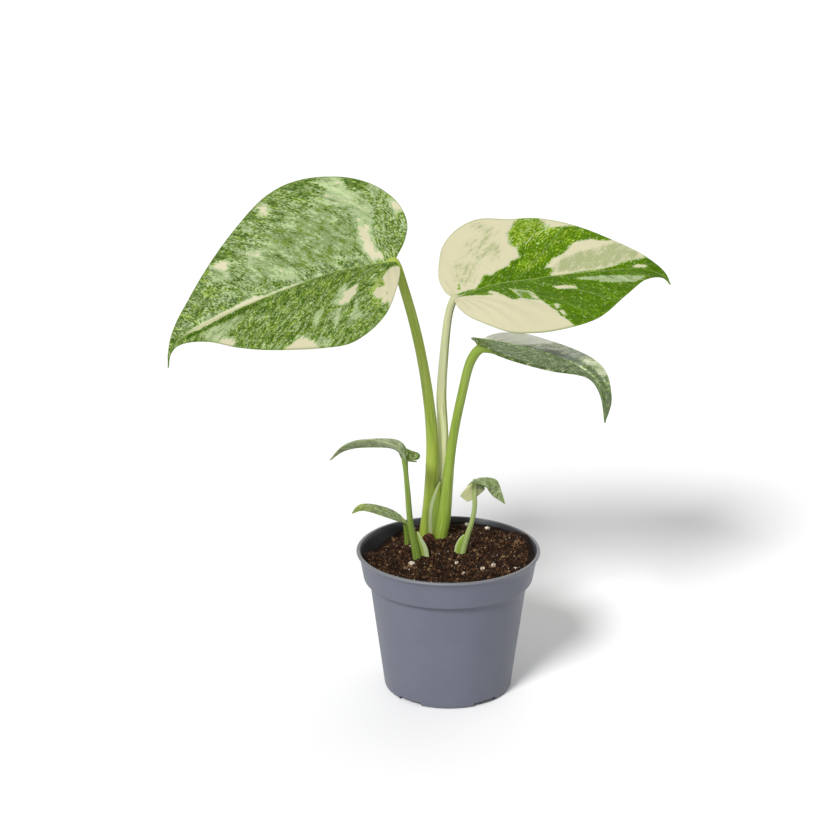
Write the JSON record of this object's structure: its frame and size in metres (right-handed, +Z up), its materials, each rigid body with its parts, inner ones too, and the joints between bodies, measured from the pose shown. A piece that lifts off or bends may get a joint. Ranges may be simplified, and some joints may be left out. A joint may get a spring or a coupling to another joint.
{
  "type": "potted variegated house plant",
  "caption": "Young potted aroid with heart-shaped, cream and green variegated leaves on long petioles, rooted in soil in a round tapered nursery pot",
  "frame": {"origin": "Centre of the flat underside of the pot, on the surface the pot stands on", "axes": "+Z is up along the pot's axis, +X is to the right seen from the front, and the front of the plant faces -Y"},
  "size_m": [0.3221, 0.144, 0.329],
  "materials": {
    "pot_plastic": "satin",
    "potting_soil": "matte",
    "leaf_variegated": "satin",
    "leaf_cream": "satin",
    "leaf_juvenile": "satin",
    "petiole_green": "satin",
    "petiole_cream": "satin",
    "sheath_papery": "satin",
    "bark": "matte",
    "perlite": "matte"
  },
  "bodies": {
    "root": {"pot": "pot_plastic", "soil": "potting_soil", "leaf_upper_left_blade": "leaf_variegated", "leaf_right_blade": "leaf_cream", "leaf_drooping_blade": "leaf_variegated", "small_leaf_upper_blade": "leaf_juvenile", "small_leaf_lower_blade": "leaf_juvenile", "small_leaf_right_blade": "leaf_juvenile", "petiole_upper_left": "petiole_green", "petiole_right": "petiole_cream", "petiole_drooping": "petiole_green", "small_petiole_upper": "petiole_green", "small_petiole_lower": "petiole_green", "small_petiole_right": "petiole_green", "sheath_main": "sheath_papery", "sheath_small_upper": "petiole_green", "sheath_small_right": "petiole_green", "bark_chip": "bark", "perlite_grain_1": "perlite", "perlite_grain_2": "perlite", "perlite_grain_3": "perlite", "perlite_grain_4": "perlite", "perlite_grain_5": "perlite", "perlite_grain_6": "perlite", "perlite_grain_7": "perlite", "perlite_grain_8": "perlite"}
  },
  "joints": []
}
